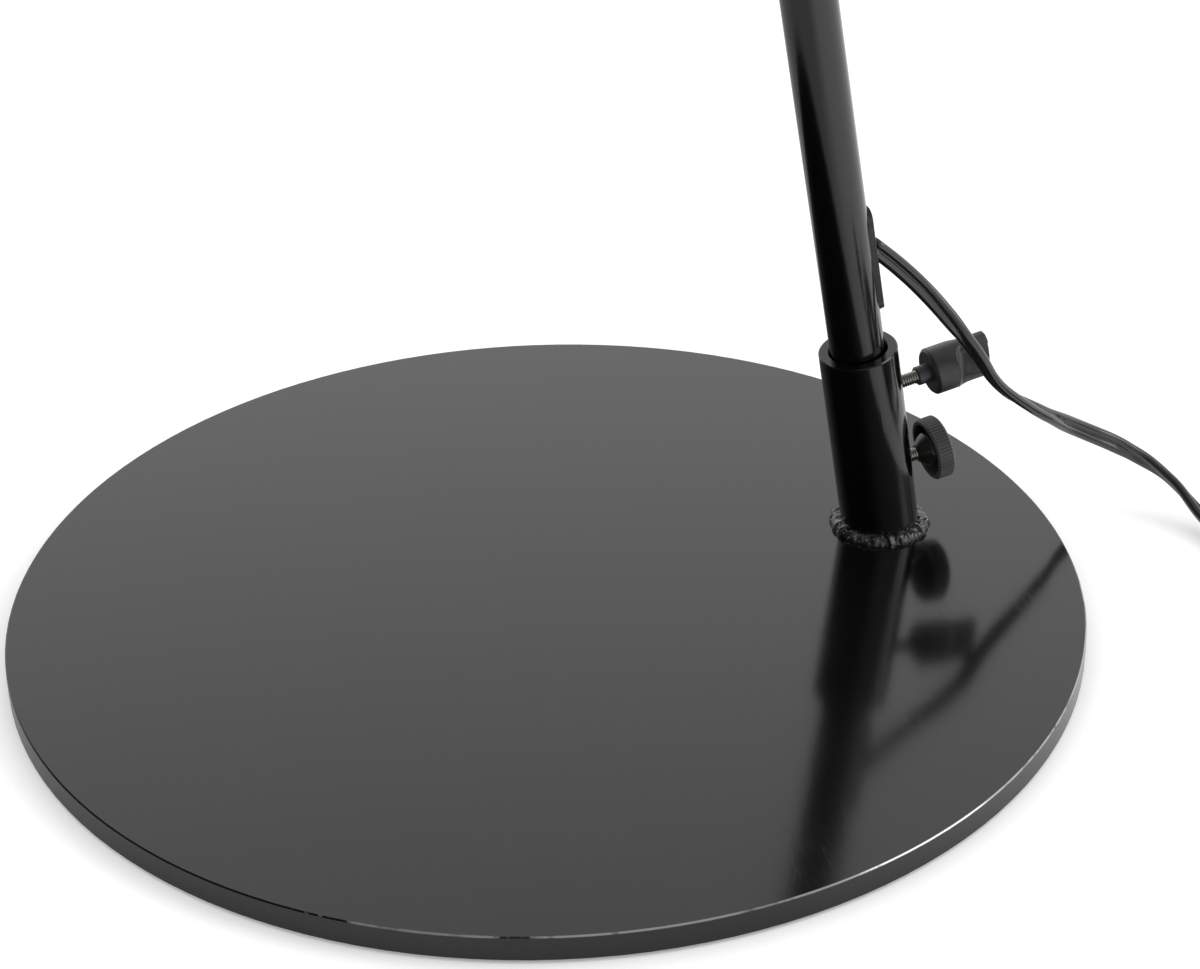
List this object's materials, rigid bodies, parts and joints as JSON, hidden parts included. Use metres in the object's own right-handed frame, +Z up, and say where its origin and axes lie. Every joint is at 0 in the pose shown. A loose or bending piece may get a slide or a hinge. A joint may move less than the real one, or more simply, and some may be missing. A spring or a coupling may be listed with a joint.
{
  "type": "floor lamp",
  "caption": "Floor lamp with a round weighted plate, a leaning pole clamped in a welded socket, a bendable gooseneck and a bell shade; flat cord with plug.",
  "frame": {"origin": "floor level under the middle of the round plate", "axes": "+Z up; the socket and pole stand towards +Y and lean towards -Y, where the head reaches out; X is across"},
  "size_m": [0.3691, 0.8839, 1.417],
  "materials": {
    "plate_paint": "black satin powder coat, fine texture, bare bright spots on the edge",
    "gloss_paint": "gloss black paint",
    "weld_paint": "gloss black paint over a lumpy weld bead",
    "pad_felt": "thin black felt",
    "zinc_steel": "bright zinc-plated thread",
    "knob_plastic": "black moulded plastic, fine matt surface",
    "hub_plastic": "black moulded plastic, glossy",
    "grommet_rubber": "black rubber with a soft sheen",
    "cord_rubber": "black flat twin cord, glossy jacket",
    "neck_metal": "black flexible metal hose, semi-gloss",
    "shade_paint": "spun aluminium, satin black outside and white inside",
    "ring_plastic": "black phenolic",
    "brass": "plain brass",
    "bulb_cap": "plain aluminium",
    "bulb_glass": "frosted white",
    "plug_rubber": "black moulded plug"
  },
  "bodies": {
    "base": {"base_plate": "plate_paint", "floor_pads": "pad_felt", "pole_socket": "gloss_paint", "socket_weld": "weld_paint", "cord_lead": "cord_rubber", "cord_coil": "cord_rubber", "cord_tail": "cord_rubber", "plug_body": "plug_rubber", "plug_blades": "brass"},
    "pole": {"lower_pole": "gloss_paint", "slot_grommet": "grommet_rubber", "pole_coupler": "gloss_paint", "upper_pole": "gloss_paint", "pole_lead": "cord_rubber", "neck_ferrule_lower": "gloss_paint"},
    "wing_screw_carrier": {"wing_screw_collar": "knob_plastic"},
    "wing_screw": {"wing_screw_stud": "zinc_steel", "wing_knob": "knob_plastic"},
    "thumb_screw_carrier": {"thumb_screw_hub": "hub_plastic"},
    "thumb_screw": {"thumb_screw_stud": "zinc_steel", "thumb_knob": "knob_plastic"},
    "neck_01": {"neck_link_01": "neck_metal"},
    "neck_02": {"neck_link_02": "neck_metal"},
    "neck_03": {"neck_link_03": "neck_metal"},
    "neck_04": {"neck_link_04": "neck_metal"},
    "neck_05": {"neck_link_05": "neck_metal"},
    "neck_06": {"neck_link_06": "neck_metal"},
    "neck_07": {"neck_link_07": "neck_metal"},
    "neck_08": {"neck_link_08": "neck_metal"},
    "neck_09": {"neck_link_09": "neck_metal"},
    "neck_10": {"neck_link_10": "neck_metal"},
    "head": {"neck_ferrule_upper": "gloss_paint", "switch_housing": "gloss_paint", "switch_body": "ring_plastic", "lamp_holder": "ring_plastic", "screw_shell": "brass", "centre_contact": "brass", "shade": "shade_paint", "shade_ring": "ring_plastic", "bulb_base": "bulb_cap", "bulb_globe": "bulb_glass"},
    "switch": {"switch_shaft": "brass", "switch_knob": "knob_plastic"}
  },
  "joints": [
    {"name": "pole_swivel", "type": "hinge", "parent": "base", "child": "pole", "pos_m": [0, 0.11392, 0.0106], "axis": [0, -0.153, 0.9882], "range_deg": [-90, 90]},
    {"name": "wing_screw_travel", "type": "slide", "parent": "base", "child": "wing_screw_carrier", "axis": [0, 0.9895, 0.1444], "range_m": [0, 0.00316]},
    {"name": "wing_screw_turn", "type": "hinge", "parent": "wing_screw_carrier", "child": "wing_screw", "pos_m": [0, 0.12663, 0.05958], "axis": [0, 0.9895, 0.1444], "range_deg": [0, 1440]},
    {"name": "thumb_screw_travel", "type": "slide", "parent": "base", "child": "thumb_screw_carrier", "axis": [0, 0.9895, 0.1444], "range_m": [0, 0.00316]},
    {"name": "thumb_screw_turn", "type": "hinge", "parent": "thumb_screw_carrier", "child": "thumb_screw", "pos_m": [0, 0.13066, 0.03197], "axis": [0, 0.9895, 0.1444], "range_deg": [0, 1440]},
    {"name": "neck_fold_00", "type": "hinge", "parent": "pole", "child": "neck_01", "pos_m": [0, -0.0819, 1.27553], "axis": [1, 0, 0], "range_deg": [-14, 8]},
    {"name": "neck_sway_01", "type": "hinge", "parent": "neck_01", "child": "neck_02", "pos_m": [0, -0.09646, 1.31279], "axis": [0, 0.8861, 0.4636], "range_deg": [-14, 14]},
    {"name": "neck_fold_02", "type": "hinge", "parent": "neck_02", "child": "neck_03", "pos_m": [0, -0.11876, 1.34599], "axis": [1, 0, 0], "range_deg": [-14, 8]},
    {"name": "neck_sway_03", "type": "hinge", "parent": "neck_03", "child": "neck_04", "pos_m": [0, -0.14775, 1.37356], "axis": [0, 0.6059, 0.7956], "range_deg": [-14, 14]},
    {"name": "neck_fold_04", "type": "hinge", "parent": "neck_04", "child": "neck_05", "pos_m": [0, -0.18203, 1.39417], "axis": [1, 0, 0], "range_deg": [-14, 8]},
    {"name": "neck_sway_05", "type": "hinge", "parent": "neck_05", "child": "neck_06", "pos_m": [0, -0.21996, 1.40685], "axis": [0, 0.2113, 0.9774], "range_deg": [-14, 14]},
    {"name": "neck_fold_06", "type": "hinge", "parent": "neck_06", "child": "neck_07", "pos_m": [0, -0.25975, 1.41098], "axis": [1, 0, 0], "range_deg": [-14, 8]},
    {"name": "neck_sway_07", "type": "hinge", "parent": "neck_07", "child": "neck_08", "pos_m": [0, -0.29948, 1.40637], "axis": [0, -0.2231, 0.9748], "range_deg": [-14, 14]},
    {"name": "neck_fold_08", "type": "hinge", "parent": "neck_08", "child": "neck_09", "pos_m": [0, -0.33727, 1.39324], "axis": [1, 0, 0], "range_deg": [-14, 8]},
    {"name": "neck_sway_09", "type": "hinge", "parent": "neck_09", "child": "neck_10", "pos_m": [0, -0.3713, 1.37221], "axis": [0, -0.6154, 0.7882], "range_deg": [-14, 14]},
    {"name": "neck_fold_10", "type": "hinge", "parent": "neck_10", "child": "head", "pos_m": [0, -0.39995, 1.3443], "axis": [1, 0, 0], "range_deg": [-14, 8]},
    {"name": "switch_turn", "type": "hinge", "parent": "head", "child": "switch", "pos_m": [0.0188, -0.42185, 1.31083], "axis": [1, 0, 0], "continuous": true}
  ],
  "couplings": [
    {"joint": "neck_fold_02", "follows": "neck_fold_00", "ratio": 1},
    {"joint": "neck_fold_04", "follows": "neck_fold_00", "ratio": 1},
    {"joint": "neck_fold_08", "follows": "neck_fold_06", "ratio": 1},
    {"joint": "neck_fold_10", "follows": "neck_fold_06", "ratio": 1},
    {"joint": "neck_sway_03", "follows": "neck_sway_01", "ratio": 1},
    {"joint": "neck_sway_05", "follows": "neck_sway_01", "ratio": 1},
    {"joint": "neck_sway_07", "follows": "neck_sway_01", "ratio": 1},
    {"joint": "neck_sway_09", "follows": "neck_sway_01", "ratio": 1},
    {"joint": "wing_screw_turn", "follows": "wing_screw_travel", "rad_per_m": 7953.4},
    {"joint": "thumb_screw_turn", "follows": "thumb_screw_travel", "rad_per_m": 7953.4}
  ]
}
